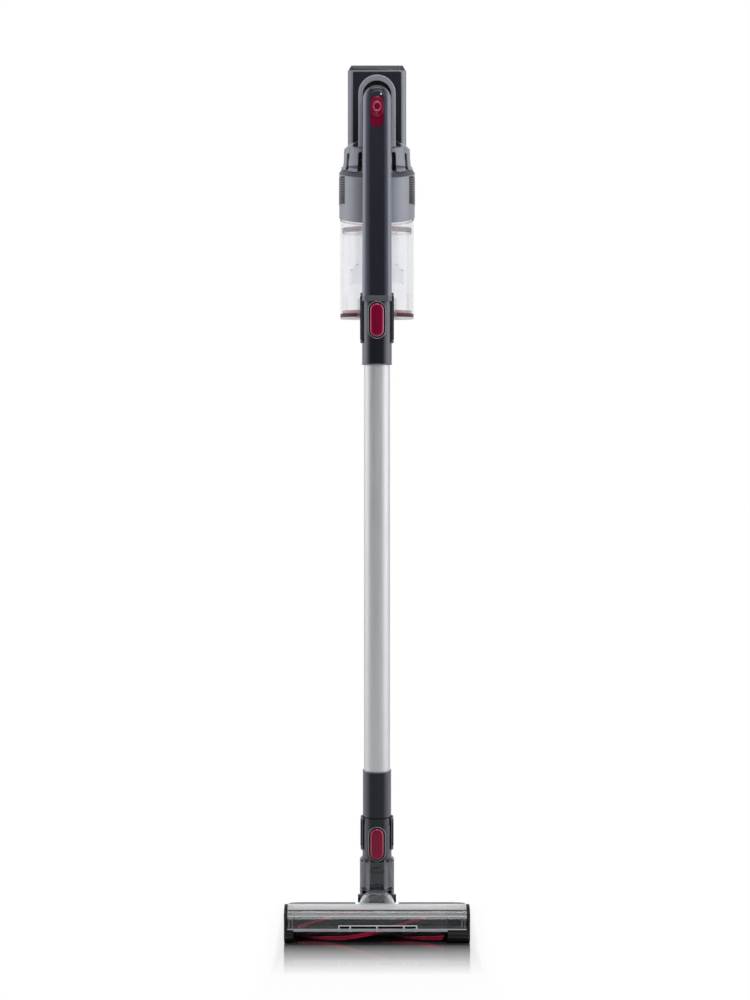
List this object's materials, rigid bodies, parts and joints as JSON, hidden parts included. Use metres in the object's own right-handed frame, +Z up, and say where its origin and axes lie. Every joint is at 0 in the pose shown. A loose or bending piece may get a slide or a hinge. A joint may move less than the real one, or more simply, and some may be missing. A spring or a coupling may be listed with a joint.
{
  "type": "cordless stick vacuum",
  "caption": "Upright cordless stick vacuum: motor, clear dust bin and grip on a straight wand, over a hinged neck and a wide floor head with a brush roll behind a clear window.",
  "frame": {"origin": "on the floor under the wand axis, on the bottom face of the lint strip", "axes": "+Z up along the wand, front of the floor head faces -Y, +X to the right seen from the front"},
  "size_m": [0.243, 0.2373, 1.1785],
  "materials": {
    "head_shell": "satin charcoal moulding",
    "clear_plastic": "clear polished plastic",
    "smoky_clear": "smoky translucent plastic",
    "black_plastic": "satin black",
    "dark_gloss": "dark grey-blue satin gloss",
    "cuff_dark": "dark grey satin",
    "battery_dark": "dark grey moulding",
    "red_gloss": "crimson gloss",
    "red_rubber": "crimson soft seal",
    "silver_plastic": "silver metallic paint",
    "wand_metal": "satin anodised",
    "steel": "plain",
    "motor_metal": "turned",
    "black_rubber": "matt",
    "felt": "short pile",
    "filter_paper": "pleated",
    "bristle": "crimson filaments"
  },
  "bodies": {
    "floor_head": {"head_base": "head_shell", "head_sole": "black_plastic", "sole_screws": "steel", "lint_strip": "felt", "head_window": "clear_plastic", "window_comb": "black_plastic", "head_end_cap_left": "head_shell", "head_end_cap_right": "head_shell", "brush_bearings": "steel", "brush_motor": "motor_metal", "drive_belt": "black_rubber", "wheel_axles": "steel"},
    "brush_roll": {"brush_shaft": "steel", "brush_core": "black_plastic", "brush_pulley": "black_plastic", "bristle_strip_a": "bristle", "bristle_strip_b": "bristle", "bristle_strip_c": "bristle"},
    "motor_pulley": {"motor_pulley": "steel"},
    "wheel_left": {"wheel_left": "black_rubber"},
    "wheel_right": {"wheel_right": "black_rubber"},
    "elbow": {"swivel_elbow": "black_plastic", "elbow_seal": "black_rubber"},
    "upper": {"neck_yoke": "smoky_clear", "pivot_pins": "black_plastic", "neck_cuff": "cuff_dark", "wand_lower_sleeve": "cuff_dark", "wand_tube": "wand_metal", "wand_upper_cuff": "cuff_dark", "spine_shell": "dark_gloss", "spine_band": "silver_plastic", "slider_bed": "red_gloss", "rear_body": "cuff_dark", "grip": "cuff_dark", "grip_pad": "black_rubber", "battery_case": "battery_dark", "charge_socket": "black_plastic", "bin_cup": "clear_plastic", "bin_top_seal": "red_rubber", "cyclone": "clear_plastic", "door_hinge_bracket": "cuff_dark", "door_hinge_pin": "steel", "motor_housing": "silver_plastic", "side_ribs": "black_plastic", "vent_dome": "silver_plastic", "exhaust_filter": "filter_paper", "motor_can": "motor_metal"},
    "lower_button": {"lower_button": "red_gloss"},
    "upper_button": {"upper_button": "red_gloss"},
    "power_slider": {"power_slider": "red_gloss"},
    "battery_latch": {"battery_latch": "red_gloss"},
    "bin_door": {"bin_door": "cuff_dark", "door_seal": "red_rubber"},
    "door_latch": {"door_latch": "red_gloss"},
    "rotor": {"impeller": "black_plastic", "motor_shaft": "steel"}
  },
  "joints": [
    {"name": "neck_roll", "type": "hinge", "parent": "floor_head", "child": "elbow", "pos_m": [0, 0, 0.037], "axis": [0, 1, 0], "range_deg": [-45, 45]},
    {"name": "neck_tilt", "type": "hinge", "parent": "elbow", "child": "upper", "pos_m": [0, 0, 0.042], "axis": [-1, 0, 0], "range_deg": [0, 80]},
    {"name": "brush_spin", "type": "hinge", "parent": "floor_head", "child": "brush_roll", "pos_m": [0, -0.05, 0.0228], "axis": [1, 0, 0], "continuous": true},
    {"name": "motor_pulley_spin", "type": "hinge", "parent": "floor_head", "child": "motor_pulley", "pos_m": [0, 0, 0.0138], "axis": [1, 0, 0], "continuous": true},
    {"name": "wheel_left_spin", "type": "hinge", "parent": "floor_head", "child": "wheel_left", "pos_m": [-0.052, 0.084, 0.005], "axis": [1, 0, 0], "continuous": true},
    {"name": "wheel_right_spin", "type": "hinge", "parent": "floor_head", "child": "wheel_right", "pos_m": [0.052, 0.084, 0.005], "axis": [1, 0, 0], "continuous": true},
    {"name": "lower_button_press", "type": "slide", "parent": "upper", "child": "lower_button", "axis": [0, 1, 0], "range_m": [0, 0.0015], "stiffness_N_per_m": 1500},
    {"name": "upper_button_press", "type": "slide", "parent": "upper", "child": "upper_button", "axis": [0, 1, 0], "range_m": [0, 0.0015], "stiffness_N_per_m": 1500},
    {"name": "power_slide", "type": "slide", "parent": "upper", "child": "power_slider", "axis": [0, 0, -1], "range_m": [0, 0.012]},
    {"name": "battery_latch_press", "type": "slide", "parent": "upper", "child": "battery_latch", "axis": [0, -1, 0], "range_m": [0, 0.002], "stiffness_N_per_m": 1200},
    {"name": "bin_door_swing", "type": "hinge", "parent": "upper", "child": "bin_door", "pos_m": [0, 0.027, 0.8234], "axis": [-1, 0, 0], "range_deg": [0, 85]},
    {"name": "door_latch_slide", "type": "slide", "parent": "upper", "child": "door_latch", "axis": [0, 0, 1], "range_m": [0, 0.005]},
    {"name": "rotor_spin", "type": "hinge", "parent": "upper", "child": "rotor", "pos_m": [0, 0.072, 0.98], "axis": [0, 0, 1], "continuous": true}
  ],
  "couplings": [
    {"joint": "motor_pulley_spin", "follows": "brush_spin", "ratio": 2.2}
  ]
}
